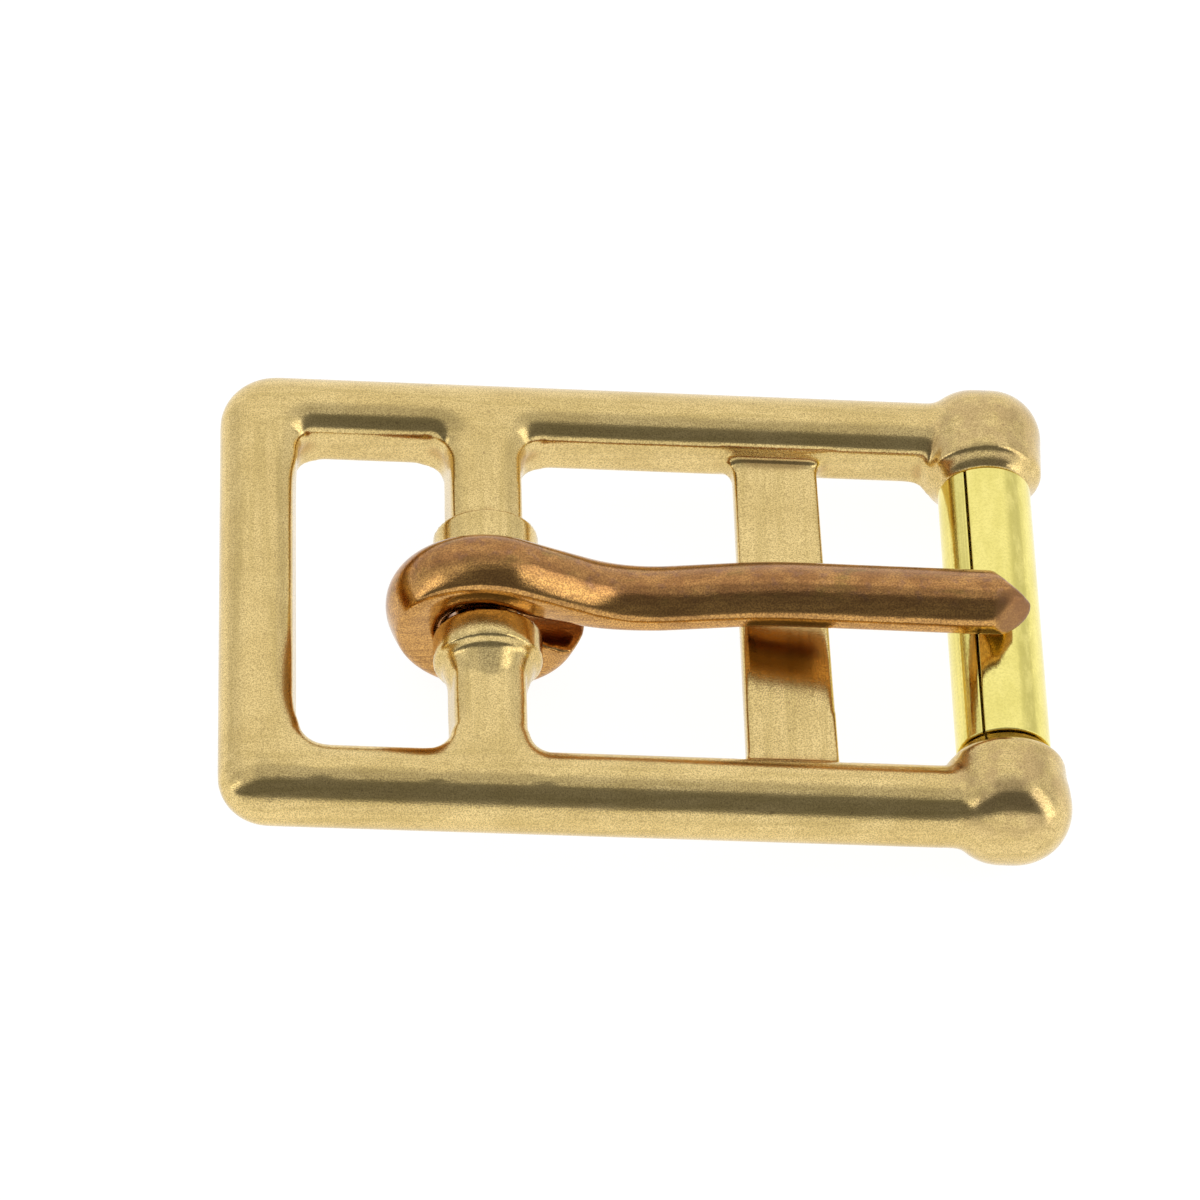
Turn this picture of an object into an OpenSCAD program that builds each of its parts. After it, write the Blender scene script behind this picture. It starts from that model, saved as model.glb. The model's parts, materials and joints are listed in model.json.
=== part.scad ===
// Roller buckle: a cast frame with a fixed keeper, a rolled tube on its end bar, and a bent rod tongue.
// It lies as it would on a table, on the tongue's loop and the two end bulbs.
// Lengths are in millimetres. +X runs from the end bar to the roller and +Z points up from the table.

/* [Strap] */
// Width of the strap that the buckle takes
strap_w = 20; // [16:1:30]
// Room between the strap and the rails, both sides together
strap_play = 0.8; // [0.4:0.1:2]

/* [Frame] */
// Centre bar's axis to the end bar's axis
end_reach = 13; // [11:0.5:20]
// Centre bar's axis to the roller's axis
roller_reach = 29.3; // [26:0.1:40]
// Thickness of the two rails and the end bar
rail_d = 4.7; // [4:0.1:5.6]
// Thickness of the centre bar outside its collars
bar_d = 4.6; // [4.2:0.1:5.4]
// Radius of the rails' centre line round the two end corners
corner_bend = 1.05; // [0.5:0.05:2.5]
// Radius of the webs in the windows' corners
web_r = 1.2; // [0.6:0.1:1.8]
// Thickness of those webs
web_t = 2.8; // [2:0.1:3.6]

/* [Centre bar] */
// Thickness of the round neck that the tongue turns on
neck_d = 3.95; // [3.4:0.05:4.1]
// Thickness of the two collars that keep the tongue in the middle
collar_d = 6.4; // [5.8:0.1:7]
// Length of each collar along the bar
collar_w = 2; // [1.2:0.1:3]
// Width of the slope round a collar's edges
collar_bevel = 0.4; // [0.1:0.05:0.6]
// Room beside the tongue, at each collar
collar_play = 0.5; // [0.4:0.05:0.9]

/* [Keeper] */
// Centre bar's axis to the middle of the keeper
keeper_reach = 16.9; // [15:0.1:19]
// Width of the keeper along the strap
keeper_w = 4.8; // [3:0.1:6]
// Thickness of the keeper
keeper_t = 1.8; // [1.2:0.1:2.4]
// Height of its upper face over the rails' middle
keeper_rise = 0.45; // [-0.4:0.05:0.6]

/* [Bulbs] */
// Thickness of the bulbs that hold the roller's axle
bulb_d = 7.1; // [6.4:0.1:8.5]
// How far each bulb's ball sits inside the rail's axis
bulb_inset = 0.4; // [0:0.1:1]
// How far each bulb stands in past the rail's inner face
bulb_reach = 0.4; // [0.1:0.1:1]
// Length of the sloping nose between bulb and roller
nose_l = 0.75; // [0.4:0.05:1.2]
// How far that slope comes down
nose_drop = 0.7; // [0.3:0.05:0.8]

/* [Roller] */
// Outside of the rolled tube
roller_d = 5.4; // [5:0.1:6.2]
// Thickness of its wall
roller_wall = 0.5; // [0.3:0.05:0.7]
// Running room between the tube and its axle
roller_room = 0.1; // [0.05:0.01:0.1]
// Room at each end of the tube
roller_play = 0.12; // [0.08:0.01:0.3]
// Width of the open seam along the tube
seam_w = 0.15; // [0.1:0.05:0.4]
// How far the seam has turned from the top towards the keeper
seam_turn = 28.5; // [0:0.5:359.5]

/* [Tongue] */
// Thickness of the tongue's round rod
tongue_d = 3.75; // [3.2:0.05:4.2]
// Running room between the loop and the neck
hinge_room = 0.1; // [0.05:0.01:0.1]
// Where the loop's cut end stops, below the level of the bar's axis
loop_stop = 8; // [2:1:40]
// Centre bar's axis to the dip behind the loop
dip_reach = 7.7; // [7:0.1:10]
// Height of the dip's corner over the bar's axis
dip_rise = 1.8; // [1.4:0.1:2.2]
// Bend of the rod's centre line at the dip
dip_bend = 9; // [5:0.5:11]
// Centre bar's axis to the crest, where the rod levels off
crest_reach = 15.8; // [15:0.1:18]
// Height of the crest's corner over the bar's axis
crest_rise = 3.65; // [3.4:0.05:3.8]
// Bend of the rod's centre line at the crest
crest_bend = 24; // [12:1:30]
// How far the tip reaches past the roller's axis
tip_past = 1.5; // [0.5:0.1:3]
// Slope of the flat that is filed on top of the tip
tip_slope = 44; // [30:1:55]
// Depth of that flat, measured square to it at the tip's ball
tip_cut = 0.95; // [0.6:0.05:1.2]
// Air between the resting tongue and the roller
tongue_gap = 0.06; // [0.04:0.01:0.15]
// How far the tongue lies askew in plan
tongue_skew = 3.2; // [0:0.1:3.2]
// How far the loop has slid along its neck
tongue_side = 0.2; // [0:0.05:0.2]

/* [Hidden] */
$fn = 96;

// Half sizes of the round sections
rail_r = rail_d / 2;
bar_r = bar_d / 2;
neck_r = neck_d / 2;
collar_r = collar_d / 2;
bulb_r = bulb_d / 2;
roller_r = roller_d / 2;
tongue_r = tongue_d / 2;

// Places across the buckle, measured from its middle
inner_y = (strap_w + strap_play) / 2;
rail_y = inner_y + rail_r;
collar_y = tongue_r + collar_play;
bulb_y = rail_y - bulb_inset;
rim_y = inner_y - bulb_reach;
nose_y = rim_y - nose_l;
roller_half = nose_y - roller_play;
axle_r = roller_r - roller_wall - roller_room;

// How far one solid runs into the next where they are cast in one
bite = 0.3;
// The rod's straights are this much thinner than its bends, and run this far into them
tuck = 0.02;
tuck_l = 0.2;

// The tongue's centre line, drawn in the plane of X and Z
loop_r = neck_r + hinge_room + tongue_r;
dip = [dip_reach, dip_rise];
crest = [crest_reach, crest_rise];
rest = [roller_reach, roller_r + tongue_gap + tongue_r];
lead = 90 - atan2(dip[1], dip[0]) - acos(loop_r / norm(dip));
fall = -lead;
climb = atan2(crest[1] - dip[1], crest[0] - dip[0]);
level = atan2(rest[1] - crest[1], rest[0] - crest[0]);
tip_ball = rest + along(level) * (tip_past / cos(level) - tongue_r);

// How the buckle lies: the line under the loop and the bulbs is the table
loop_out = loop_r + tongue_r;
pitch = asin((loop_out - bulb_r) / roller_reach);
end_x = -end_reach * cos(pitch) - rail_r;
bulb_x = roller_reach * cos(pitch) + bulb_r;
middle_x = (end_x + bulb_x) / 2;

// Unit vector at an angle in the plane of a path
function along(a) = [cos(a), sin(a)];

// Length that a bend takes off each of the two straights that meet at its corner
function cut_back(bend, before, after) = bend * tan(abs(after - before) / 2);

// Lays the model on the table, over the middle of its own outline
module laid() {
    translate([-middle_x, 0, loop_out])
        rotate([0, pitch, 0])
            children();
}

// Round bar along Y from y0 to y1
module bar_along_y(x, y0, y1, r) {
    translate([x, y1, 0])
        rotate([90, 0, 0])
            cylinder(h = y1 - y0, r = r);
}

// Round bar along X from x0 to x1
module bar_along_x(y, x0, x1, r) {
    translate([x0, y, 0])
        rotate([0, 90, 0])
            cylinder(h = x1 - x0, r = r);
}

// Both sides of the buckle, from the shape of the far one
module both_sides() {
    children();
    mirror([0, 1, 0])
        children();
}

// Straight length of rod between two points of a path, tucked into the bends at its ends
module rod(from, to, r) {
    reach = to - from;
    translate(from)
        rotate([0, 0, atan2(reach[1], reach[0])])
            rotate([0, 90, 0])
                translate([0, 0, -tuck_l])
                    cylinder(h = norm(reach) + 2 * tuck_l, r = r - tuck);
}

// Last straight of a path, with a round end about its last point
module rod_with_tip(from, ball, r) {
    reach = ball - from;
    translate(from)
        rotate([0, 0, atan2(reach[1], reach[0])])
            rotate([0, 90, 0]) {
                translate([0, 0, -tuck_l])
                    cylinder(h = norm(reach) + tuck_l, r = r - tuck);
                translate([0, 0, norm(reach)])
                    sphere(r = r - 2 * tuck);
            }
}

// Bent length of rod about a centre, from one angle to the next
module bent_rod(centre, bend, from, to, r) {
    translate(centre)
        rotate([0, 0, from])
            rotate_extrude(angle = to - from)
                translate([bend, 0])
                    circle(r = r);
}

// Bend at a corner of the path, between two directions
module corner_rod(corner, before, after, bend, r) {
    left = after > before ? 1 : -1;
    start = corner - along(before) * cut_back(bend, before, after);
    centre = start + along(before + 90 * left) * bend;
    first = before - 90 * left;
    last = after - 90 * left;
    bent_rod(centre, bend, min(first, last), max(first, last), r);
}

// Quarter bend of the rail at an end corner, whose inside closes to a point
module rail_corner() {
    translate([-end_reach + corner_bend, rail_y - corner_bend, 0])
        rotate([0, 0, 90])
            rotate_extrude(angle = 90)
                intersection() {
                    translate([corner_bend, 0])
                        circle(r = rail_r);
                    translate([0, -rail_r])
                        square([corner_bend + rail_r, rail_d]);
                }
}

// Web that fills a square corner at the origin, towards +X and -Y, up to a hollow quarter round
module web() {
    linear_extrude(height = web_t, center = true)
        difference() {
            translate([-bite, -web_r])
                square([web_r + bite, web_r + bite]);
            translate([web_r, -web_r])
                circle(r = web_r);
        }
}

// Webs on both sides of a bar that meets the far rail
module web_pair(x, half) {
    translate([x + half, inner_y, 0])
        web();
    translate([x - half, inner_y, 0])
        mirror([1, 0, 0])
            web();
}

// Collar on the far side of the tongue, with sloping edges
module collar() {
    translate([0, collar_y + collar_w, 0])
        rotate([90, 0, 0])
            rotate_extrude()
                polygon([
                    [0, 0],
                    [collar_r - collar_bevel, 0],
                    [collar_r, collar_bevel],
                    [collar_r, collar_w - collar_bevel],
                    [collar_r - collar_bevel, collar_w],
                    [0, collar_w]
                ]);
}

// Bulb at the end of the far rail, with its sloping nose towards the roller
module bulb() {
    translate([roller_reach, bulb_y, 0])
        sphere(r = bulb_r);
    bar_along_y(roller_reach, rim_y, bulb_y, bulb_r);
    translate([roller_reach, rim_y, 0])
        rotate([90, 0, 0])
            cylinder(h = nose_l, r1 = bulb_r, r2 = bulb_r - nose_drop);
}

// Flat bridge between the rails, with small flares where it joins them
module keeper() {
    translate([keeper_reach, 0, keeper_rise - keeper_t]) {
        linear_extrude(height = keeper_t) {
            square([keeper_w, 2 * (inner_y + bite)], center = true);
            for (side = [-1, 1], end = [-1, 1])
                scale([side, end])
                    translate([keeper_w / 2, inner_y])
                        difference() {
                            translate([-bite, -web_r])
                                square([web_r + bite, web_r + bite]);
                            translate([web_r, -web_r])
                                circle(r = web_r);
                        }
        }
    }
}

module frame() {
    color("darkkhaki")
        laid() {
            bar_along_y(-end_reach, corner_bend - rail_y, rail_y - corner_bend, rail_r);
            bar_along_y(0, -collar_y - collar_w / 2, collar_y + collar_w / 2, neck_r);
            bar_along_y(roller_reach, -rim_y, rim_y, axle_r);
            both_sides() {
                bar_along_x(rail_y, corner_bend - end_reach, roller_reach, rail_r);
                bar_along_y(0, collar_y + collar_w / 2, rail_y, bar_r);
                rail_corner();
                collar();
                bulb();
                web_pair(0, bar_r);
                translate([rail_r - end_reach, inner_y, 0])
                    web();
            }
            keeper();
        }
}

module roller() {
    color("gold")
        laid()
            translate([roller_reach, 0, 0])
                difference() {
                    bar_along_y(0, -roller_half, roller_half, roller_r);
                    bar_along_y(0, -roller_half - bite, roller_half + bite, axle_r + roller_room);
                    rotate([0, -seam_turn, 0])
                        translate([-seam_w / 2, -roller_half - bite, 0])
                            cube([seam_w, 2 * (roller_half + bite), roller_r + bite]);
                }
}

// Half space above the flat that is filed on the tongue's tip
module tip_file() {
    translate(tip_ball)
        rotate([0, 0, level - tip_slope])
            translate([-tongue_d, tongue_r - tip_cut, -tongue_d])
                cube([3 * tongue_d, tongue_d, 2 * tongue_d]);
}

module tongue() {
    dip_in = dip - along(fall) * cut_back(dip_bend, fall, climb);
    dip_out = dip + along(climb) * cut_back(dip_bend, fall, climb);
    crest_in = crest - along(climb) * cut_back(crest_bend, climb, level);
    crest_out = crest + along(level) * cut_back(crest_bend, climb, level);
    color("peru")
        laid()
            translate([0, -tongue_side, 0])
                rotate([90, 0, -tongue_skew])
                    difference() {
                        union() {
                            bent_rod([0, 0], loop_r, 90 - lead, 360 - loop_stop, tongue_r);
                            rod(along(90 - lead) * loop_r, dip_in, tongue_r);
                            corner_rod(dip, fall, climb, dip_bend, tongue_r);
                            rod(dip_out, crest_in, tongue_r);
                            corner_rod(crest, climb, level, crest_bend, tongue_r);
                            rod_with_tip(crest_out, tip_ball, tongue_r);
                        }
                        tip_file();
                    }
}

frame();
roller();
tongue();
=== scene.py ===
# %% [markdown]
# # A cast brass roller buckle
# A harness buckle has three parts: a frame cast in one piece, a brass tube that turns on the frame's
# end bar, and a bent rod tongue that hinges on the frame's centre bar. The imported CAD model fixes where
# each of them is and how it moves. This script only adds what the eye needs: the softened corners of a
# casting, the tarnish of a tongue, the polish of a drawn tube, and the light of a photographer's tent.
# It loads the CAD first and notes its box, so that the looks can be compared with it at the end.

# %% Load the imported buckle
import json
import math
import bmesh
import bpy
from bmesh.types import BMEdge, BMVert
from mathutils import Matrix, Vector
from mathutils.kdtree import KDTree
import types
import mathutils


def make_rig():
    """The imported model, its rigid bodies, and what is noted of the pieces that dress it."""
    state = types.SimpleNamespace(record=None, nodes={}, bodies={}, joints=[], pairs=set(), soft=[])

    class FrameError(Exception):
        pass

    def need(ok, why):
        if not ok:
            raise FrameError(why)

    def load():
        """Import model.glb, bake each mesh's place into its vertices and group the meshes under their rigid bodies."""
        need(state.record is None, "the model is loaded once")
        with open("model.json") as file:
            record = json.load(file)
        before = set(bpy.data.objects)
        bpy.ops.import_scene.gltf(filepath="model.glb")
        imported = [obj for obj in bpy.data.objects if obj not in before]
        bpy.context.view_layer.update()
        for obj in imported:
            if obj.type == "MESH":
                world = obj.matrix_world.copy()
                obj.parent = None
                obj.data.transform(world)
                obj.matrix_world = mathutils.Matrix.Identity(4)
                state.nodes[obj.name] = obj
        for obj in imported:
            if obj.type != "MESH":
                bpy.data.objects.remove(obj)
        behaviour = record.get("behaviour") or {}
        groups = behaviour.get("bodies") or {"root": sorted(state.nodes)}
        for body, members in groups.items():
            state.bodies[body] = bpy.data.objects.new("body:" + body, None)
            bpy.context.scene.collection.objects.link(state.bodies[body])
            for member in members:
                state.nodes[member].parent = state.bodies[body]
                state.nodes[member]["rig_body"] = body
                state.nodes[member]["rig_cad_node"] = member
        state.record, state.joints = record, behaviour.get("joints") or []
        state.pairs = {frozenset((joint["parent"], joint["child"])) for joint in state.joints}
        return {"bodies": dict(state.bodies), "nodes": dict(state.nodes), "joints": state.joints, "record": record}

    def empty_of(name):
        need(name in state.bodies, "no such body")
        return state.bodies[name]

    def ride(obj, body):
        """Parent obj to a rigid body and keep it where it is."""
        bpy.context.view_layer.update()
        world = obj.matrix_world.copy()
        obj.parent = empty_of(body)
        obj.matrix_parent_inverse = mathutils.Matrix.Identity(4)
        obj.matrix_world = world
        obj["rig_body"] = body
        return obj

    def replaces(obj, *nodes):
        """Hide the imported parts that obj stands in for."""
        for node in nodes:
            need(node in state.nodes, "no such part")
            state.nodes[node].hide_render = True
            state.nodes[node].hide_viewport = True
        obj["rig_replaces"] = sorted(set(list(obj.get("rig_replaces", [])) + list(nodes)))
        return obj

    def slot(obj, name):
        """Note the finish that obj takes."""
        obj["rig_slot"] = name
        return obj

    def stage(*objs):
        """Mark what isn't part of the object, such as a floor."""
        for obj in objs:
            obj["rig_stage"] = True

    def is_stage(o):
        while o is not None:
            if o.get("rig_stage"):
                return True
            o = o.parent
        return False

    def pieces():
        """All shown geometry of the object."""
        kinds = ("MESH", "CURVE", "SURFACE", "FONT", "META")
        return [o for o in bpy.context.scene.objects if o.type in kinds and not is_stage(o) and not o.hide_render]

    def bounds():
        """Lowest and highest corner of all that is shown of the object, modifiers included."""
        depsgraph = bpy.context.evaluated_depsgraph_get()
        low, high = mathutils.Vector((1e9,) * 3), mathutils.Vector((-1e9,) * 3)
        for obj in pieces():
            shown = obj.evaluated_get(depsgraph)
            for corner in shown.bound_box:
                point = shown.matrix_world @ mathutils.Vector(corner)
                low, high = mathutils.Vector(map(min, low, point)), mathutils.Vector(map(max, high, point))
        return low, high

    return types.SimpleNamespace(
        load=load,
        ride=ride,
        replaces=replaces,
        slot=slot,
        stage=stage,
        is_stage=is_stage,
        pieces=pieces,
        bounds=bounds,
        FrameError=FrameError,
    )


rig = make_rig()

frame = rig.load()
cad_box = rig.bounds()
print("CAD nodes:", sorted(frame["nodes"]), "box", [round(x * 1000, 2) for c in cad_box for x in c], "mm")

# %% [markdown]
# ## The buckle's own axes
# The buckle rests on the tongue's loop and on two bulbs, so it leans a little on the table. Modelling it
# leaning would make every number awkward. Instead each piece is modelled flat, in millimetres, with the
# centre bar's axis as Y and the rails along X. One matrix then lays it down: scale to metres, turn by
# the lean, move to the hinge. Both come from the two joints of the CAD model, so nothing is fitted by eye.

# %% The matrix that lays a flat piece on the table
joints = {joint["name"]: joint for joint in frame["joints"]}
hinge = Vector(joints["tongue_hinge"]["pos_m"])
axle = Vector(joints["roller_spin"]["pos_m"])
lean = math.atan2(hinge.z - axle.z, axle.x - hinge.x)
LAY = Matrix.Translation(hinge) @ Matrix.Rotation(lean, 4, "Y") @ Matrix.Scale(0.001, 4)
axle_x = (axle - hinge).length * 1000
print(f"lean {math.degrees(lean):.2f} degrees, roller axis {axle_x:.2f} mm from the hinge")

# %% [markdown]
# ## The camera
# The photograph looks down at about 55 degrees through a long lens, which keeps the rails nearly
# parallel. The place and turn below come from matching the outlines of the bars and bulbs.

# %% Camera
camera = bpy.data.objects.new("camera", bpy.data.cameras.new("camera"))
bpy.context.scene.collection.objects.link(camera)
camera.location = (-0.015458, -0.209195, 0.304922)
camera.rotation_euler = [math.radians(a) for a in (35.0293, -1.4162, -1.5905)]
camera.data.sensor_width = 36
camera.data.lens = 191.63
bpy.context.scene.camera = camera
print(f"camera {camera.location.length * 1000:.0f} mm from the origin, {camera.data.lens} mm lens")

# %% [markdown]
# ## From a bmesh to a finished piece
# Every piece ends the same way: doubles are merged, normals are made to point outwards, the mesh is laid
# on the table, and the object is left at the origin so that it can ride on a CAD body.

# %% Finish a piece
doubles_within = 0.002


def finish_piece(bm, name, body):
    bmesh.ops.remove_doubles(bm, verts=bm.verts, dist=doubles_within)
    bmesh.ops.recalc_face_normals(bm, faces=bm.faces)
    bmesh.ops.transform(bm, matrix=LAY, verts=bm.verts)
    mesh = bpy.data.meshes.new(name)
    bm.to_mesh(mesh)
    bm.free()
    mesh.shade_smooth()
    piece = bpy.data.objects.new(name, mesh)
    bpy.context.scene.collection.objects.link(piece)
    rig.ride(piece, body)
    triangles = sum(len(p.vertices) - 2 for p in mesh.polygons)
    print(f"{name}: {triangles} triangles")
    return piece

# %% [markdown]
# ## Sweeps
# Bars, rods and bends are all an outline carried along a path: straight on, or round a bend. A plate is
# a flat face carried along the same way.

# %% Three ways to sweep
def only(kind, geometry):
    return [g for g in geometry if isinstance(g, kind)]


def carry(bm, edges, along):
    new = bmesh.ops.extrude_edge_only(bm, edges=edges)["geom"]
    bmesh.ops.translate(bm, vec=Vector(along), verts=only(BMVert, new))
    return [e for e in only(BMEdge, new) if len(e.link_faces) == 1]


def swing(bm, edges, about, axis, angle, steps):
    verts = list({v for e in edges for v in e.verts})
    new = bmesh.ops.spin(bm, geom=verts + edges, cent=Vector(about), axis=Vector(axis),
                         angle=math.radians(angle), steps=steps)["geom_last"]
    return only(BMEdge, new)


def thicken(bm, faces, along):
    new = bmesh.ops.extrude_face_region(bm, geom=faces, use_keep_orig=True)["geom"]
    bmesh.ops.translate(bm, vec=along, verts=only(BMVert, new))


def close(bm):
    bmesh.ops.holes_fill(bm, edges=[e for e in bm.edges if len(e.link_faces) == 1], sides=0)

# %% [markdown]
# ## The section of a cast bar
# A bar of the frame isn't an ellipse. The dark band on it shows how fast its side turns: the outer
# shoulder is almost flat, the shoulder by the window turns faster and ends at a soft edge, and below
# that edge the window's wall is upright. Such an outline is easiest to draw by walking round it. Each
# step is an arc, given by its radius and how far it turns, or a straight, given by its length.

# %% Walk round a section
def walk_round(bm, at, normal, axis, steps):
    normal, axis = Vector(normal), Vector(axis)
    first = point = bm.verts.new(at)
    for size, turn in steps:
        if turn:
            made = bmesh.ops.spin(bm, geom=[point], cent=point.co - normal * size, axis=axis,
                                  angle=math.radians(turn), steps=max(3, round(turn / 4)))
            point = only(BMVert, made["geom_last"])[0]
            normal = Matrix.Rotation(math.radians(turn), 3, axis) @ normal
        else:
            point = bmesh.ops.extrude_vert_indiv(bm, verts=[point])["verts"][0]
            point.co += axis.cross(normal) * size
    bm.edges.new((point, first))
    return [e for e in bm.edges if e.is_wire]


X, Y, Z = Vector((1, 0, 0)), Vector((0, 1, 0)), Vector((0, 0, 1))
bar_top, bar_deep = 2.1, 4.099
window_side = [(1.1, 90), (1.95, 0), (0.45, 48), (2.9, 22), (2.4, 20)]
outer_side = [(2.4, 20), (3.6, 22), (1.72, 88), (2.4, 50)]
foot, inner_half, outer_half = 0.818, 1.918, 2.57
print("bar", round(inner_half + outer_half, 2), "mm wide and", bar_deep, "mm deep")

# %% [markdown]
# ## The frame's outer bar
# One bar runs along a rail, round both end corners and back along the other rail. It is swept as one
# section: out along X, a quarter turn, across, a quarter turn, and back. On the end bar the window's
# wall leans, the draft that lets a casting leave its mould, so that side of it is then pushed over.

# %% Outer bar
def smooth(value):
    value = min(max(value, 0), 1)
    return value * value * (3 - 2 * value)


rail_y, end_x, far_bend, near_bend = 12.67, -12.75, 0.75, 0.3
bend_steps, end_steps = 18, 30
casting = bmesh.new()
run = walk_round(casting, (axle_x, rail_y - foot, bar_top - bar_deep), -Z, -X, window_side + outer_side)
run = carry(casting, run, X * (end_x + far_bend - axle_x))
run = swing(casting, run, (end_x + far_bend, rail_y - far_bend, 0), Z, 90, bend_steps)
for part in range(end_steps):
    run = carry(casting, run, Y * (far_bend + near_bend - 2 * rail_y) / end_steps)
run = swing(casting, run, (end_x + near_bend, near_bend - rail_y, 0), Z, 90, bend_steps)
run = carry(casting, run, X * (axle_x - end_x - near_bend))
close(casting)

# %% Draft on the end bar
draft, draft_in, draft_half, draft_fade = 0.32, 1.5, 9.8, 2.4
wall_foot, wall_high = window_side[0][0], window_side[1][0]
for v in casting.verts:
    if end_x < v.co.x < end_x + inner_half + 0.1:
        inwards = smooth((v.co.x - end_x) / draft_in)
        upwards = smooth((v.co.z - bar_top + bar_deep - wall_foot) / wall_high)
        v.co.x -= draft * inwards * upwards * smooth((draft_half - abs(v.co.y)) / draft_fade)
print("outer bar:", len(casting.verts), "points")

# %% [markdown]
# ## The centre bar, its neck and its collars
# The centre bar's top is flush with the rails, and both its sides are window walls. In the middle it
# thins to a round neck that the tongue turns on, between two collars that keep the tongue in place. A
# collar is a turned shape: a short outline of radius and distance, spun a full turn about the bar. The
# near collar flows back into the bar in a long cone, and the far one ends at a sharp step.

# %% Centre bar
drafted_side = [(1.1, 96), (1.92, 0), (0.45, 42), (2.9, 22), (1.95, 20)]
flat_top, drafted_foot, bar_wide, bar_starts = 0.29, 0.868, 2.258, 3.2
for side in (-1, 1):
    run = walk_round(casting, (-flat_top - drafted_foot, side * bar_starts, bar_top - bar_deep), -Z, Y,
                     drafted_side + [(2 * flat_top, 0)] + drafted_side[::-1])
    carry(casting, run, Y * side * (rail_y - bar_starts))
close(casting)
print("centre bar", 2 * bar_wide, "mm wide")

# %% Turned shapes: the neck and the collars
turning_steps = 72


def turned(bm, corners, centre, rounding=0.0, mirror=1):
    verts = [bm.verts.new(Vector(centre) + Vector((0, mirror * y, r))) for r, y in corners]
    edges = [bm.edges.new(pair) for pair in zip(verts, verts[1:])]
    if rounding:
        bmesh.ops.bevel(bm, geom=verts[1:-1], affect="VERTICES", offset=rounding, segments=4,
                        profile=0.5, material=-1)
        seen, queue = set(), [verts[0]]
        while queue:
            v = queue.pop()
            seen.add(v)
            queue += [e.other_vert(v) for e in v.link_edges if e.other_vert(v) not in seen]
        verts = list(seen)
        edges = list({e for v in verts for e in v.link_edges})
    bmesh.ops.spin(bm, geom=verts + edges, cent=Vector(centre), axis=Y, angle=math.tau,
                   steps=turning_steps, use_merge=True)


neck_r, neck_half = 1.72, 3
near_collar = [(0, 2.28), (3.14, 2.28), (3.14, 4.2), (2.72, 4.42), (1.9, 6.8), (0, 6.8)]
far_collar = [(0, 2.37), (3.03, 2.37), (3.03, 4.62), (2.5, 4.62), (2.3, 4.85), (0, 4.85)]
turned(casting, [(0, -neck_half), (neck_r, -neck_half), (neck_r, neck_half), (0, neck_half)], (0, 0, 0))
turned(casting, near_collar, (0, 0, 0), rounding=0.06, mirror=-1)
turned(casting, far_collar, (0, 0, 0), rounding=0.06)
print("collars of radius", near_collar[1][0], "and", far_collar[1][0], "mm, neck of radius", neck_r, "mm")

# %% [markdown]
# ## The keeper
# A flat bridge joins the rails below their tops and holds the strap's loose end down. It is a plain
# plate, wider towards the near rail, whose ends flare where they meet the rails. A flare is a web: a
# corner with a hollow quarter round, which is a point spun through a quarter turn, joined to the corner
# and given a thickness. A ramp is the same hollow round, lying down, from the rail's wall to the plate.
# The windows' corners have coves: the window's half of the bar's section, swung from bar to bar.

# %% Webs, coves and ramps
sunk, web_steps, cove_steps, ramp_steps, cove_floor = 0.7, 8, 14, 10, 0.6


def web(corner, out_x, out_y, radius, low, high):
    cx, cy = corner
    start = casting.verts.new((cx + out_x * radius, cy, low))
    bmesh.ops.spin(casting, geom=[start], cent=(cx + out_x * radius, cy + out_y * radius, low), axis=Z,
                   angle=-out_x * out_y * math.pi / 2, steps=web_steps)
    arc_edges = [e for e in casting.edges if e.is_wire]
    arc_verts = list({v for e in arc_edges for v in e.verts})
    last = min(arc_verts, key=lambda v: (v.co - Vector((cx, cy + out_y * radius, low))).length)
    back = casting.verts.new((cx - out_x * sunk, cy + out_y * radius, low))
    deep = casting.verts.new((cx - out_x * sunk, cy - out_y * sunk, low))
    side = casting.verts.new((cx + out_x * radius, cy - out_y * sunk, low))
    sides = [casting.edges.new(p) for p in ((last, back), (back, deep), (deep, side), (side, start))]
    made = bmesh.ops.contextual_create(casting, geom=arc_edges + sides)
    thicken(casting, made["faces"], Z * (high - low))


def cove(corner, out_x, out_y, radius):
    about = Vector((corner[0] + out_x * radius, corner[1] + out_y * radius, 0))
    start = Vector((about.x, corner[1], bar_top - bar_deep)) - Y * out_y * (inner_half - foot)
    run = walk_round(casting, start, -Z, X * out_y, window_side + [(cove_floor, 0)])
    swing(casting, run, about, Z, -out_x * out_y * 90, cove_steps)
    close(casting)


def ramp(side, radius):
    rounds = [math.radians(part * 90 / ramp_steps) for part in range(ramp_steps + 1)]
    hollow = [(radius * (math.sin(a) - 1), radius * (1 - math.cos(a))) for a in rounds]
    verts = [casting.verts.new((keeper_x - keeper_wide / 2 + 0.05, side * (inner_y + y), keeper_top + z))
             for y, z in hollow + [(0.9, radius), (0.9, -sunk), (-radius, -sunk)]]
    thicken(casting, [casting.faces.new(verts)], X * (keeper_wide - 0.1))


inner_y, window_x = rail_y - inner_half, end_x + inner_half
print("windows from", round(window_x, 2), "mm, between rails", round(2 * inner_y, 2), "mm apart")

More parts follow.
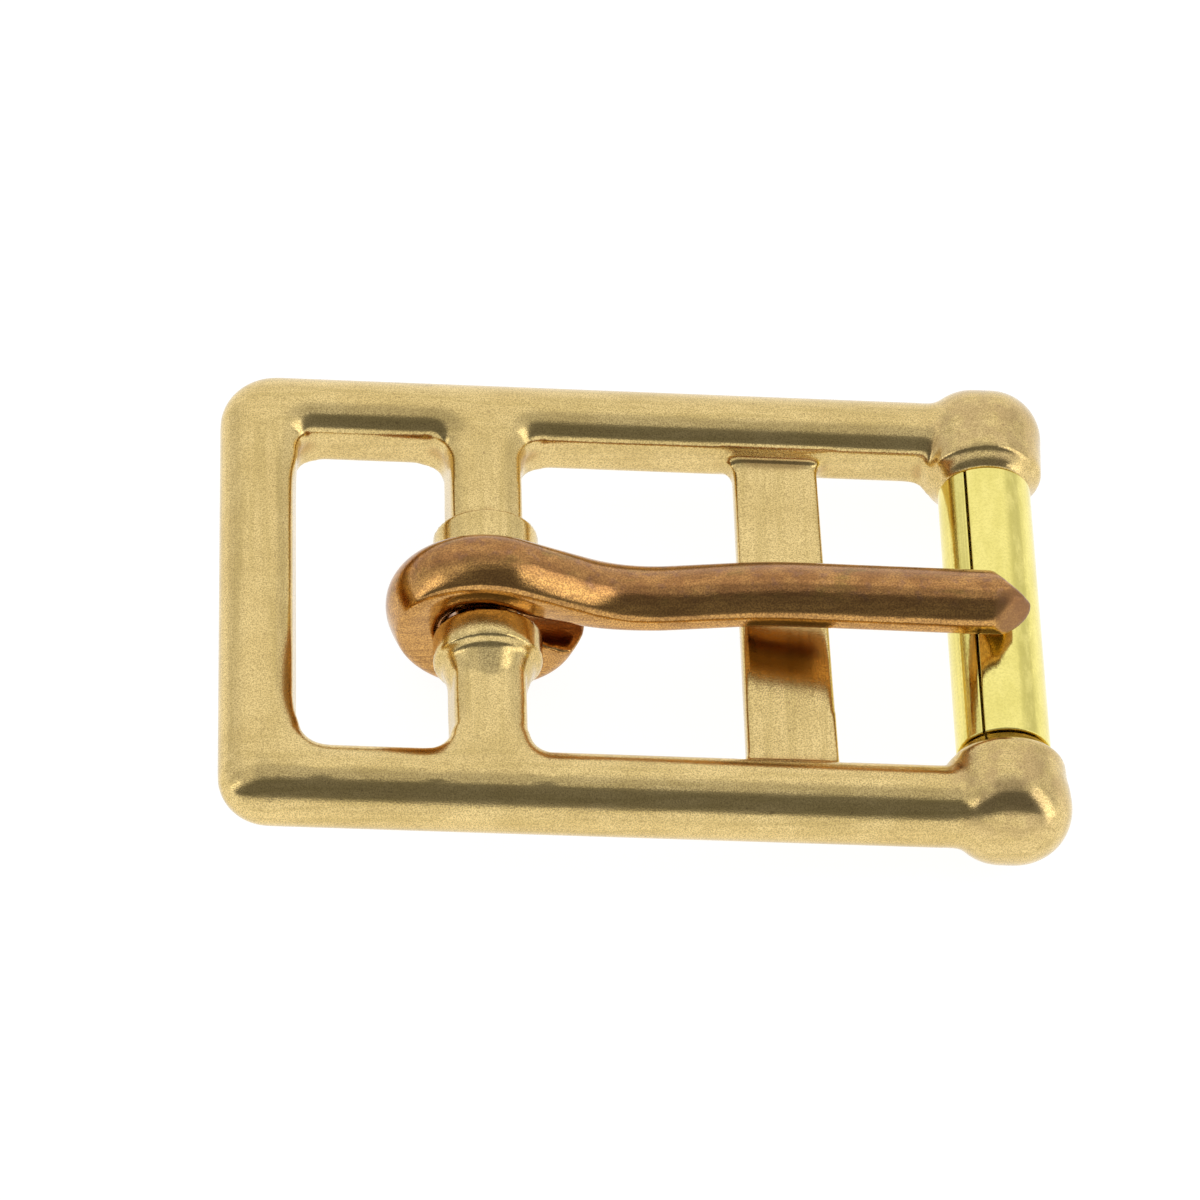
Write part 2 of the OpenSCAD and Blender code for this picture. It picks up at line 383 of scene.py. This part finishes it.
# %% Keeper and corners
keeper_x, keeper_wide, keeper_top, keeper_thick, keeper_taper = 17.0, 4.86, 0.45, 1.45, 0.45
plate = bmesh.ops.create_cube(casting, size=1)["verts"]
bmesh.ops.scale(casting, vec=(keeper_wide, 2 * rail_y, keeper_thick), verts=plate)
bmesh.ops.translate(casting, vec=X * keeper_taper, verts=[v for v in plate if v.co.x > 0 > v.co.y])
bmesh.ops.translate(casting, vec=(keeper_x, 0, keeper_top - keeper_thick / 2), verts=plate)
for side, corner, left, right in ((1, 0.85, 0.9, 0.8), (-1, 1.7, 1.5, 1.2)):
    cove((window_x, side * inner_y), 1, -side, corner)
    cove((-bar_wide, side * inner_y), -1, -side, left)
    cove((bar_wide, side * inner_y), 1, -side, right)
    for end in (-1, 1):
        web((keeper_x + end * keeper_wide / 2, side * inner_y), end, -side, 1.1 if end < 0 else 0.75,
            keeper_top - keeper_thick, keeper_top)
    ramp(side, 0.5)
for place, turn in ((window_x, 1), (-bar_wide, -1), (bar_wide, 1)):
    web((place, inner_y), turn, -1, 1.2, -1.7, -0.3)
print("keeper", keeper_wide, "mm wide")

# %% [markdown]
# ## The bulbs
# The rails end in round bulbs that carry the roller's axle. Each is a ball that is a little square seen
# from above, as its pattern was rubbed down on its sides. It runs on inwards as a short barrel, which
# ends at a sharp rim, and a hollow face leads from the rim down to the roller. The two bulbs differ a
# little. Their bottoms are flatter, where the buckle stands on them.

# %% Bulbs
ball_r, ball_y, ball_z = 3.552, 12.364, -0.096
barrel = [(0, ball_y), (ball_r, ball_y), (3.45, 10.2), (2.8, 9.55), (2.66, 9.19), (0, 9.19)]
flatter = 0.965
for side, square, long in ((-1, 0.12, 1.03), (1, 0.17, 1.0)):
    ball = bmesh.ops.create_uvsphere(casting, u_segments=72, v_segments=36, radius=ball_r)["verts"]
    for v in ball:
        v.co *= 1 + square * abs(v.co.x) * max(side * v.co.y, 0) / ball_r ** 2
    bmesh.ops.scale(casting, vec=(long, 1, 1), verts=[v for v in ball if v.co.x > 0])
    bmesh.ops.scale(casting, vec=(1, 1, flatter), verts=[v for v in ball if v.co.z < 0])
    bmesh.ops.translate(casting, vec=(axle_x, side * ball_y, ball_z), verts=ball)
    turned(casting, barrel, (axle_x, 0, ball_z), rounding=0.12, mirror=side)
    web((axle_x - 3.35, side * inner_y), -1, -side, 0.7, -1.5, 0.9)
print("bulbs of radius", ball_r, "mm")

# %% [markdown]
# ## One casting from many shapes
# The shapes so far only overlap. A real casting has no seams: metal flows round every corner, and
# tumbling softens it further. A voxel remesh gives one skin round all of them, and a few passes of
# smoothing melt the corners. The remesh is a modifier, so its result is read back into a bmesh.

# %% Melt the shapes together
def melted(bm, voxel):
    bmesh.ops.recalc_face_normals(bm, faces=bm.faces)
    mesh = bpy.data.meshes.new("rough_casting")
    bm.to_mesh(mesh)
    bm.free()
    rough = bpy.data.objects.new("rough_casting", mesh)
    bpy.context.scene.collection.objects.link(rough)
    skin = rough.modifiers.new("skin", "REMESH")
    skin.mode, skin.voxel_size, skin.adaptivity = "VOXEL", voxel, 0
    result = bmesh.new()
    result.from_object(rough, bpy.context.evaluated_depsgraph_get())
    bpy.data.objects.remove(rough)
    return result


casting_voxel, rod_voxel = 0.175, 0.14
casting = melted(casting, casting_voxel)
print("skin:", len(casting.faces), "faces")

# %% Soften the corners
def near(bm, places, reach):
    finder = KDTree(len(bm.verts))
    bm.verts.ensure_lookup_table()
    for v in bm.verts:
        finder.insert(v.co, v.index)
    finder.balance()
    return {bm.verts[found[1]] for place in places for found in finder.find_range(place, reach)}


def relax(bm, verts, turns):
    verts = list(verts)
    for turn in range(turns):
        bmesh.ops.smooth_vert(bm, verts=verts, factor=0.5,
                              use_axis_x=True, use_axis_y=True, use_axis_z=True)


casting.verts.index_update()
sharp_places, junctions, valleys, ramps = [], [], [], []
for side in (-1, 1):
    sharp_places += [(0, side * 2.4, 0), (0, side * 4.3, 0), (axle_x, side * 9.6, 0)]
    junctions += [(x, side * (inner_y + 0.1), 1.3)
                  for x in (-bar_wide - 0.1, bar_wide + 0.1, window_x - 0.1)]
    valleys += [(axle_x - 2.9, side * (rail_y + 2.2 * math.cos(a)), 2.0 * math.sin(a))
                for a in [math.tau * part / 16 for part in range(16)]]
    ramps += [(keeper_x + part * 0.5, side * (inner_y - 0.1), keeper_top + 0.3) for part in range(-6, 7)]
near_corner = [(end_x - 1.0, -rail_y - 1.0, 1.6)]
crisp = near(casting, sharp_places, 4.1)
relax(casting, casting.verts, 3)
relax(casting, set(casting.verts) - crisp, 5)
for places, reach, turns in ((junctions, 1.2, 9), (valleys, 0.9, 9), (ramps, 0.7, 8), (near_corner, 1.8, 20)):
    relax(casting, near(casting, places, reach), turns)
print("casting relaxed,", len(crisp), "points kept crisp")

# %% [markdown]
# ## Hollows: tarnish and painted shade
# Tumbling media polish the crowns of a casting and can't reach its hollows, where tarnish stays and
# shade falls. So each point gets a number for how hollow the skin is there: how far its neighbours'
# middle lies in front of it. The numbers are spread a little, and stored on the mesh for the brass to read as tarnish
# and painted shade.

# %% Measure the hollows
def mark_hollows(bm, spread):
    store = bm.verts.layers.float.new("hollow")
    bm.normal_update()
    rings = {v: [e.other_vert(v) for e in v.link_edges] for v in bm.verts}
    depth = {v: (sum((o.co for o in others), Vector()) / len(others) - v.co).dot(v.normal)
             for v, others in rings.items()}
    for turn in range(spread):
        depth = {v: (depth[v] + sum(depth[o] for o in others) / len(others)) / 2
                 for v, others in rings.items()}
    for v, value in depth.items():
        v[store] = value
    return min(depth.values()), max(depth.values())


print("hollows from", mark_hollows(casting, 10))
cast_frame = finish_piece(casting, "cast_frame", "frame")
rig.replaces(cast_frame, "frame")
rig.slot(cast_frame, "cast_brass")

# %% [markdown]
# ## The tongue
# The tongue is one rod, bent while hot. Its path is a loop round the neck, a dip behind the loop, a
# slow climb over the keeper and a nearly level run to the roller. The loop was squeezed between flat
# dies and keeps a hard edge at the front. The free length is pressed into a low roof with flat
# shoulders. Both outlines are lists of arcs, each a radius and the degrees that it turns through, read
# by the direction that the surface faces.

# %% The tongue's two outlines
def outline(arcs, points=120):
    at, places = Vector((0, 0)), []
    for part in range(points):
        places.append(at.copy())
        facing = (part + 0.5) * 360 / points
        reached = 0
        for radius, turn in arcs:
            reached += turn
            if facing < reached:
                break
        angle = math.radians(facing)
        at -= Vector((math.sin(angle), math.cos(angle))) * radius * math.tau / points
    return [place - at * part / points for part, place in enumerate(places)]


roof = [(1.7, 21), (4.0, 21), (0.6, 45), (4.6, 6), (0.6, 45), (15.0, 3), (1.51, 39)]
loop_section = outline([(2.5, 21), (8.0, 9), (0.4, 39), (1.2, 27), (12.0, 6), (1.2, 48), (2.72, 30),
                        (1.95, 69), (1.75, 42), (1.95, 69)])
wider = 1.045
free_section = [Vector((place.x, place.y * wider)) for place in outline(roof + roof[::-1])]
for name, section in (("loop", loop_section), ("free length", free_section)):
    print(name, round(-min(place.x for place in section), 2), "mm thick")

# %% [markdown]
# The path is a list of stations: a place, the direction that the rod's back faces there, and how far
# the outline has changed from the loop's to the free length's. A ring is set at each station, and each
# is bridged to the one before.

# %% Stations along the path
loop_r, loop_top, free_top = 3.95, 1.85, 1.42
loop_starts, loop_turns, loop_steps = 352, 262, 96
dip, crest, rest, drift = (7.7, 1.55), (15.8, 3.4), (axle_x, 4.36), 0.19
dip_bend, crest_bend, straight_steps, last_steps, past_axle, nose = 9, 24, 12, 10, 1.5, 1.875


def heading(angle):
    return Vector((math.cos(math.radians(angle)), 0, math.sin(math.radians(angle))))


def in_path(point):
    return Vector((point[0], 0, point[1]))


def slope(first, second):
    return math.degrees(math.atan2(second[1] - first[1], second[0] - first[0]))


lead = 90 - slope((0, 0), dip) - math.degrees(math.acos(loop_r / math.hypot(*dip)))
climb, level = slope(dip, crest), slope(crest, rest)
stations = []
for step in range(loop_steps + 1):
    facing = loop_starts - (loop_turns + lead) * step / loop_steps
    stations.append((heading(facing) * loop_r, facing))
loop_ends = len(stations)
at = stations[-1][0]
for corner, before, after, radius, steps in ((in_path(dip), -lead, climb, dip_bend, 14),
                                             (in_path(crest), climb, level, crest_bend, 8)):
    cut_off = radius * math.tan(math.radians(abs(after - before)) / 2)
    left = 90 if after > before else -90
    entry = corner - heading(before) * cut_off
    pivot = entry + heading(before + left) * radius
    stations += [(at.lerp(entry, part / straight_steps), before + 90)
                 for part in range(1, straight_steps + 1)]
    for step in range(1, steps + 1):
        turned_by = before + (after - before) * step / steps
        stations.append((pivot + heading(turned_by - left) * radius, turned_by + 90))
    at = stations[-1][0]
tip_ball = in_path(rest) + heading(level) * (past_axle / math.cos(math.radians(level)) - nose)
stations += [(at.lerp(tip_ball, part / last_steps), level + 90) for part in range(1, last_steps + 1)]
print(len(stations), "stations, lead", round(lead, 1), "degrees, tip at", round(tip_ball.x, 2), "mm")

# %% Rings along the path
change_starts, change_over, nose_steps, nose_step = 1.5, 8, 14, 6
rod = bmesh.new()
rings = [(place, facing, smooth((place.x - change_starts) / change_over) if number >= loop_ends else 0, 1)
         for number, (place, facing) in enumerate(stations)]
for step in range(1, nose_steps + 1):
    angle = math.radians(step * nose_step)
    rings.append((tip_ball + heading(level) * nose * math.sin(angle), level + 90, 1, math.cos(angle)))
before = None
for place, facing, change, size in rings:
    out, top = heading(facing), loop_top + (free_top - loop_top) * change
    circle = bmesh.ops.create_circle(rod, segments=len(loop_section), radius=1)["verts"]
    for v, first, second in zip(circle, loop_section, free_section):
        x, y = first.lerp(second, change)
        v.co = place + out * (top + x) * size + Y * (y * size + drift * change)
    edges = list({e for v in circle for e in v.link_edges})
    if before:
        bmesh.ops.bridge_loops(rod, edges=before + edges)
    before = edges
close(rod)
print("rod:", len(rod.verts), "points")

# %% Chamfer and filed flat at the tip
tip_middle = tip_ball + Y * drift
chamfer, filed = Vector((0.61, 0.65, 0.455)), Vector((0.62, -0.70, 0.36))
chamfer_out, filed_out = 1.155, 1.3
for facing, offset in ((chamfer, chamfer_out), (filed, filed_out)):
    cut = bmesh.ops.bisect_plane(rod, geom=rod.verts[:] + rod.edges[:] + rod.faces[:], dist=0.0001,
                                 plane_co=tip_middle + facing * offset, plane_no=facing, clear_outer=True)
    bmesh.ops.edgeloop_fill(rod, edges=only(BMEdge, cut["geom_cut"]))
rod = melted(rod, rod_voxel)
relax(rod, rod.verts, 4)
relax(rod, near(rod, [tip_middle + filed * filed_out], 2.0), 7)
print("rod:", len(rod.verts), "points once its skin is relaxed")

# %% Askew within its play
askew, shift = 3.2, -0.2
aside = Matrix.Translation((0, shift, 0)) @ Matrix.Rotation(math.radians(-askew), 4, "Z")
bmesh.ops.transform(rod, matrix=aside, verts=rod.verts)
filed_at = LAY @ aside @ (tip_middle + filed * filed_out)
bent_tongue = finish_piece(rod, "bent_tongue", "tongue")
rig.replaces(bent_tongue, "tongue")
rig.slot(bent_tongue, "tarnished_bronze")

# %% [markdown]
# ## The roller and its axle
# The roller is a strip of sheet brass rolled into a tube, so it keeps an open seam along its length.
# One rectangle, as thick as the sheet and as long as the tube, is swung almost a full turn. Its edges
# are then broken a little, which draws the thin bright line beside the seam.

# %% Rolled tube
tube_r, wall, tube_half, seam_at, seam_wide, tube_steps, broken = 2.7, 0.5, 9.13, 123.5, 3.2, 120, 0.07
tube = bmesh.new()
out = heading(seam_at + seam_wide / 2)
corners = [tube.verts.new(out * r + Y * y) for r, y in
           ((tube_r - wall, -tube_half), (tube_r, -tube_half), (tube_r, tube_half), (tube_r - wall, tube_half))]
sheet_end = tube.faces.new(corners)
sides = list(sheet_end.edges)
tube.faces.remove(sheet_end)
swing(tube, sides, (0, 0, 0), Y, -(360 - seam_wide), tube_steps)
close(tube)
bmesh.ops.recalc_face_normals(tube, faces=tube.faces)
sharp = [e for e in tube.edges if len(e.link_faces) == 2 and e.calc_face_angle() > 1]
bmesh.ops.bevel(tube, geom=sharp, affect="EDGES", offset=broken, segments=3, profile=0.5, material=-1)
bmesh.ops.translate(tube, vec=X * axle_x, verts=tube.verts)
rolled_tube = finish_piece(tube, "rolled_tube", "roller")
rolled_tube.modifiers.new("even_shading", "WEIGHTED_NORMAL").keep_sharp = True
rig.replaces(rolled_tube, "roller")
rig.slot(rolled_tube, "polished_brass")

# %% Axle inside the tube
pin_r, pin_half = 2.1, 9.6
pin = bmesh.new()
pin_outline = [(0, -pin_half), (pin_r, -pin_half), (pin_r, pin_half), (0, pin_half)]
turned(pin, pin_outline, (axle_x, 0, 0), rounding=0.1)
roller_axle = finish_piece(pin, "roller_axle", "frame")
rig.slot(roller_axle, "cast_brass")

# %% [markdown]
# ## Grain and tarnish that every finish shares
# Metal that looks like metal needs small faults: a fine grain from tumbling, streaks from wiping, pits,
# and broad patches where the surface has dulled. All are one effect at other sizes, so one node group
# holds it and each material places it with its own numbers. It reads Object coordinates, so it stays
# with the piece. A number below 1 along an axis draws the pattern out along that axis.

# %% Node group: speckle
def new_group(name, inputs, output):
    group = bpy.data.node_groups.new(name, "ShaderNodeTree")
    for label, value in inputs:
        socket = group.interface.new_socket(label, in_out="INPUT", socket_type="NodeSocketFloat")
        socket.default_value = value
    group.interface.new_socket(output, in_out="OUTPUT", socket_type="NodeSocketFloat")
    return group, group.nodes.new("NodeGroupInput"), group.nodes.new("NodeGroupOutput")


def add(tree, kind, links=None, **settings):
    node = tree.nodes.new(kind)
    for key, value in settings.items():
        setattr(node, key, value)
    for socket, source in (links or {}).items():
        if isinstance(source, bpy.types.NodeSocket):
            tree.links.new(source, node.inputs[socket])
        else:
            node.inputs[socket].default_value = source
    return node


knobs = (("Scale", 4000), ("Low", 0.4), ("High", 0.6), ("Along X", 1), ("Along Y", 1))
speckle, given, shown = new_group("speckle", knobs, "Mask")
place = add(speckle, "ShaderNodeTexCoord")
stretch = add(speckle, "ShaderNodeCombineXYZ",
              {"X": given.outputs["Along X"], "Y": given.outputs["Along Y"], "Z": 1})
moved = add(speckle, "ShaderNodeVectorMath", {0: place.outputs["Object"], 1: stretch.outputs[0]},
            operation="MULTIPLY")
noise = add(speckle, "ShaderNodeTexNoise",
            {"Vector": moved.outputs[0], "Scale": given.outputs["Scale"], "Detail": 3, "Roughness": 0.6})
steep = add(speckle, "ShaderNodeMapRange",
            {"Value": noise.outputs["Fac"], "From Min": given.outputs["Low"],
             "From Max": given.outputs["High"]}, interpolation_type="SMOOTHSTEP")
speckle.links.new(steep.outputs[0], shown.inputs["Mask"])
print("node groups:", [g.name for g in bpy.data.node_groups])

# %% [markdown]
# ## Helpers for every metal
# A metal starts as a plain Principled shader with Metallic at 1. Its colour is then built up in layers:
# each layer blends one more colour over the last, where a mask says so.

# %% Metal helpers
def metal(name):
    material = bpy.data.materials.new(name)
    material.use_nodes = True
    tree = material.node_tree
    shader = tree.nodes["Principled BSDF"]
    shader.inputs["Metallic"].default_value = 1
    return material, tree, shader


def speckled(tree, scale, low, high, along_x=1, along_y=1):
    node = add(tree, "ShaderNodeGroup", node_tree=speckle)
    for (label, _), value in zip(knobs, (scale, low, high, along_x, along_y)):
        node.inputs[label].default_value = value
    return node.outputs["Mask"]


def maths(tree, operation, a, b=0.0, c=0.0):
    return add(tree, "ShaderNodeMath", {0: a, 1: b, 2: c}, operation=operation).outputs[0]


def fade(tree, value, start, end, low=0.0, high=1.0):
    return add(tree, "ShaderNodeMapRange",
               {"Value": value, "From Min": start, "From Max": end, "To Min": low, "To Max": high},
               interpolation_type="SMOOTHSTEP").outputs[0]


def distance(tree, spot, point):
    return add(tree, "ShaderNodeVectorMath", {0: spot, 1: point}, operation="DISTANCE").outputs["Value"]


def paint(tree, shader, base, layers):
    under = base
    for colour, mask, amount in layers:
        mix = add(tree, "ShaderNodeMix", {0: maths(tree, "MULTIPLY", mask, amount)}, data_type="RGBA")
        if under is base:
            mix.inputs[6].default_value = (*base, 1)
        else:
            tree.links.new(under, mix.inputs[6])
        mix.inputs[7].default_value = (*colour, 1)
        under = mix.outputs[2]
    tree.links.new(under, shader.inputs["Base Color"])


def where(tree):
    spot = add(tree, "ShaderNodeTexCoord").outputs["Object"]
    return (spot, *add(tree, "ShaderNodeSeparateXYZ", {0: spot}).outputs)


def roughen(tree, shader, mask, polished, worn, matt=None):
    rough = add(tree, "ShaderNodeMapRange", {"Value": mask, "To Min": polished, "To Max": worn}).outputs[0]
    if matt:
        rough = maths(tree, "ADD", rough, matt)
    tree.links.new(rough, shader.inputs["Roughness"])


def emboss(tree, shader, height, strength, distance):
    bump = add(tree, "ShaderNodeBump", {"Height": height, "Strength": strength, "Distance": distance})
    tree.links.new(bump.outputs[0], shader.inputs["Normal"])

# %% [markdown]
# ## Cast brass
# Tumbled cast brass is pale, slightly green gold. The layers are, from below: browner patches, streaks
# that run along each bar, the duller and pinker tops of the bulbs, a coppery tarnish in the hollows that
# is also painted shade and painted reflection, the fine grain and a few pits. The rails and the other
# bars run different ways, so the streaks change direction where a rail begins.

# %% Material: cast brass
cast_brass, tree, shader = metal("cast_brass")
_, x, y, z = where(tree)
off_centre = maths(tree, "ABSOLUTE", y)
on_rail = fade(tree, off_centre, 0.0100, 0.0112)
across_rail, along_rail = (speckled(tree, 2300, 0.42, 0.66, along_y=0.05),
                           speckled(tree, 2300, 0.42, 0.66, along_x=0.05))
streaks = add(tree, "ShaderNodeMix", {0: on_rail, 2: across_rail, 3: along_rail}, data_type="FLOAT").outputs[0]
mirrored = add(tree, "ShaderNodeCombineXYZ", {"X": x, "Y": off_centre, "Z": z}).outputs[0]
on_bulb = fade(tree, distance(tree, mirrored, (axle.x, 0.0122, axle.z)), 0.0046, 0.0032)
bulb_top = maths(tree, "MULTIPLY", on_bulb, fade(tree, z, axle.z, axle.z + 0.0025))
dull_top = maths(tree, "MULTIPLY", bulb_top, speckled(tree, 650, 0.36, 0.6))
hollow = add(tree, "ShaderNodeAttribute", attribute_name="hollow").outputs["Fac"]
grain = speckled(tree, 12500, 0.36, 0.66)
paint(tree, shader, (0.94, 0.715, 0.315), (
    ((0.79, 0.585, 0.235), speckled(tree, 300, 0.36, 0.68), 0.8),    # browner patches
    ((0.60, 0.45, 0.16), streaks, 0.42),
    ((0.56, 0.385, 0.19), dull_top, 0.75),                           # pinker tops of the bulbs
    # coppery tarnish in the hollows, partly painted shade and painted reflection of the brass on itself
    ((0.52, 0.29, 0.10), fade(tree, hollow, 0.001, 0.006), 0.6),     # coppery hollows
    ((0.36, 0.255, 0.095), grain, 0.72),
    ((0.26, 0.17, 0.07), speckled(tree, 2600, 0.66, 0.74), 0.55)))   # pits
roughen(tree, shader, grain, 0.10, 0.20)
emboss(tree, shader, maths(tree, "ADD", grain, streaks), 0.3, 0.000005)
for piece in (cast_frame, roller_axle):
    piece.data.materials.append(cast_brass)
print("cast brass:", len(tree.nodes), "nodes")

# %% [markdown]
# ## Polished sheet brass
# The tube is rolled from polished yellow brass. It has more zinc than the casting, so it is lemon
# yellow. Rolling leaves fine lines along the tube, most of them by the seam, and the strap has dulled
# and speckled one band. That band is found by the angle round the tube's axis.

# %% Material: polished brass
polished_brass, tree, shader = metal("polished_brass")
_, x, y, z = where(tree)
turn = maths(tree, "ARCTAN2", maths(tree, "SUBTRACT", x, axle.x), maths(tree, "SUBTRACT", z, axle.z))
band = maths(tree, "MULTIPLY", fade(tree, turn, 0.28, 0.45), fade(tree, turn, 0.95, 0.72))
by_seam = maths(tree, "MULTIPLY", fade(tree, turn, -1.3, -1.0), fade(tree, turn, -0.5, -0.56))
grain = speckled(tree, 7000, 0.36, 0.66)
lines = speckled(tree, 5200, 0.47, 0.56, along_y=0.006)
rubbed = maths(tree, "MULTIPLY", band, speckled(tree, 1700, 0.36, 0.58, along_y=0.35))
paint(tree, shader, (0.97, 0.85, 0.275), (
    ((0.80, 0.70, 0.19), speckled(tree, 800, 0.4, 0.66, along_y=0.4), 0.55),   # duller patches
    ((0.56, 0.49, 0.12), rubbed, 0.5),
    ((0.42, 0.33, 0.07), maths(tree, "MULTIPLY", by_seam, lines), 0.2),
    ((0.60, 0.52, 0.13), grain, 0.3)))
roughen(tree, shader, grain, 0.07, 0.17)
emboss(tree, shader, maths(tree, "ADD", lines, grain), 0.2, 0.000004)
rolled_tube.data.materials.append(polished_brass)
print("polished brass:", len(tree.nodes), "nodes")

# %% [markdown]
# ## Tarnished bronze
# The rod is a redder alloy, browned by heat and handling. Its back is stained in pink, purple and olive
# patches with fine lengthwise wear, and its lower flank, the side towards the camera, is painted golden as a
# painted reflection of the bright cloth. The flat that was filed on the tip is matt.

# %% Material: tarnished bronze
tarnished_bronze, tree, shader = metal("tarnished_bronze")
spot, x, y, z = where(tree)
from_middle = maths(tree, "ADD", y, maths(tree, "MULTIPLY", x, math.tan(math.radians(askew))))
# painted highlight: the golden reflection along the tongue's lower flank, towards the camera
flank_highlight = fade(tree, from_middle, -0.0011, -0.0019)
grain = speckled(tree, 10500, 0.36, 0.64)
on_flat = fade(tree, distance(tree, spot, filed_at), 0.0016, 0.0012)
wear = speckled(tree, 2600, 0.4, 0.62, along_x=0.12)
paint(tree, shader, (0.66, 0.345, 0.115), (
    ((0.43, 0.20, 0.072), speckled(tree, 620, 0.38, 0.62), 0.75),                  # brown patches
    ((0.33, 0.175, 0.12), speckled(tree, 1300, 0.52, 0.68), 0.6),                  # purple stains
    ((0.34, 0.235, 0.065), speckled(tree, 950, 0.56, 0.7, along_x=0.5), 0.55),     # olive stains
    # painted highlight: golden reflection on the lower flank
    ((0.82, 0.46, 0.14), flank_highlight, 0.8),
    ((0.24, 0.11, 0.042), wear, 0.35),
    ((0.17, 0.075, 0.028), grain, 0.62),
    ((0.27, 0.135, 0.058), on_flat, 0.7)))
roughen(tree, shader, grain, 0.07, 0.16, matt=maths(tree, "MULTIPLY", on_flat, 0.28))
emboss(tree, shader, maths(tree, "ADD", grain, wear), 0.3, 0.000004)
bent_tongue.data.materials.append(tarnished_bronze)
print("tarnished bronze:", len(tree.nodes), "nodes")

# %% [markdown]
# ## A light table and a light tent
# Small bright metal is photographed in a tent: white cloth on every side, a white table that glows, and
# one opening for the camera. The metal shows the tent, so the opening appears as the dark band along
# each bar. The table is a plain plane. The tent is the world's own colour, which depends only on the
# direction that a ray leaves in.

# %% Light table
table_half = 1.5
table = bmesh.new()
bmesh.ops.create_grid(table, x_segments=4, y_segments=4, size=table_half)
mesh = bpy.data.meshes.new("light_table")
table.to_mesh(mesh)
table.free()
light_table = bpy.data.objects.new("light_table", mesh)
bpy.context.scene.collection.objects.link(light_table)
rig.stage(light_table)
pale = bpy.data.materials.new("pale_table")
pale.use_nodes = True
surface = pale.node_tree.nodes["Principled BSDF"].inputs
surface["Base Color"].default_value = (0.22, 0.22, 0.22, 1)
surface["Roughness"].default_value = 1
surface["Specular IOR Level"].default_value = 0
surface["Emission Color"].default_value = (1, 1, 1, 1)
surface["Emission Strength"].default_value = 0.92
mesh.materials.append(pale)
print("light table", table_half, "m to each side")

# %% [markdown]
# The tent is drawn as the camera would see it from the buckle, looking back. Two numbers place a
# direction: how wide it lies to the side, and how high above the line to the camera. On that plane the
# opening is a patch with straight sides. A lamp shines through the cloth on either side of it, and
# draws the small bright spots that end each dark band.

# %% Light tent
world = bpy.data.worlds.new("light_tent")
bpy.context.scene.world = world
world.use_nodes = True
tree = world.node_tree
sky = tree.nodes["Background"]
place = add(tree, "ShaderNodeTexCoord").outputs["Generated"]


def along(direction):
    return add(tree, "ShaderNodeVectorMath", {0: place, 1: direction}, operation="DOT_PRODUCT").outputs["Value"]


def every(masks):
    while len(masks) > 1:
        masks = [maths(tree, "MULTIPLY", masks[0], masks[1])] + masks[2:]
    return masks[0]


def tilted(first, a, second, b):
    return maths(tree, "ADD", maths(tree, "MULTIPLY", first, a), maths(tree, "MULTIPLY", second, b))


tilt = math.radians(55.6)
toward = along((0, -math.cos(tilt), math.sin(tilt)))
upward = along((0, math.sin(tilt), math.cos(tilt)))
sideways, height = along((1, 0, 0)), along((0, 0, 1))
ahead = maths(tree, "MAXIMUM", toward, 0.05)
wide, high = maths(tree, "DIVIDE", sideways, ahead), maths(tree, "DIVIDE", upward, ahead)
sill = maths(tree, "MINIMUM", maths(tree, "MULTIPLY", wide, -0.10), maths(tree, "MULTIPLY", wide, 0.2))
opening = every([fade(tree, high, 0.56, 0.48),                                  # upper side
                 fade(tree, tilted(high, 1, wide, -0.244), 0.61, 0.51),         # upper left side
                 fade(tree, tilted(high, 1, wide, 0.95), 1.12, 0.98),           # right side
                 fade(tree, wide, -5, -4),                                      # far left end
                 fade(tree, maths(tree, "SUBTRACT", high, sill), -0.36, -0.16)])
swung, raised = maths(tree, "ARCTAN2", sideways, toward), maths(tree, "ARCSINE", upward)
across, down = tilted(swung, 0.8, raised, 0.6), tilted(swung, 0.6, raised, -0.8)
right_lamp = every([fade(tree, across, 0.66, 0.72), fade(tree, across, 1.14, 1.0),
                    fade(tree, down, 0.0, 0.15), fade(tree, down, 1.35, 1.15)])
across, down = tilted(swung, -0.514, raised, 0.857), tilted(swung, -0.857, raised, -0.514)
left_lamp = every([fade(tree, across, 0.585, 0.64), fade(tree, across, 0.82, 0.72),
                   fade(tree, down, 0.60, 0.78), fade(tree, down, 1.40, 1.25)])

print("tent:", len(tree.nodes), "nodes for the opening and the lamps")

# %% Brightness of the tent
top_light, lintel_light, side_light, lamp_light, opening_light = 0.78, 0.8, 0.83, 1.75, 0.19
ceiling = fade(tree, height, 0.84, 0.97, 1.0, top_light)
sides = maths(tree, "MULTIPLY", fade(tree, maths(tree, "ABSOLUTE", sideways), 0.5, 0.8),
              fade(tree, height, -0.05, 0.15))
lintel = maths(tree, "MULTIPLY", fade(tree, high, 0.3, 0.5), fade(tree, high, 1.9, 1.0))
ceiling = maths(tree, "MULTIPLY", ceiling, fade(tree, lintel, 0, 1, 1.0, lintel_light))
bright = maths(tree, "MULTIPLY", ceiling, fade(tree, sides, 0, 1, 1.0, side_light))
for mask, light in ((maths(tree, "ADD", right_lamp, left_lamp), lamp_light), (opening, opening_light)):
    bright = add(tree, "ShaderNodeMix", {0: mask, 2: bright, 3: light}, data_type="FLOAT").outputs[0]
sky.inputs["Color"].default_value = (1, 1, 1, 1)
tree.links.new(bright, sky.inputs["Strength"])
bpy.context.scene.view_settings.view_transform = "Standard"
print("tent:", len(tree.nodes), "nodes")

# %% Finish
with open("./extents.json", "w") as sizes:
    json.dump({"cad": [list(c) for c in cad_box], "visual": [list(c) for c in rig.bounds()]}, sizes)
print(open("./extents.json").read())
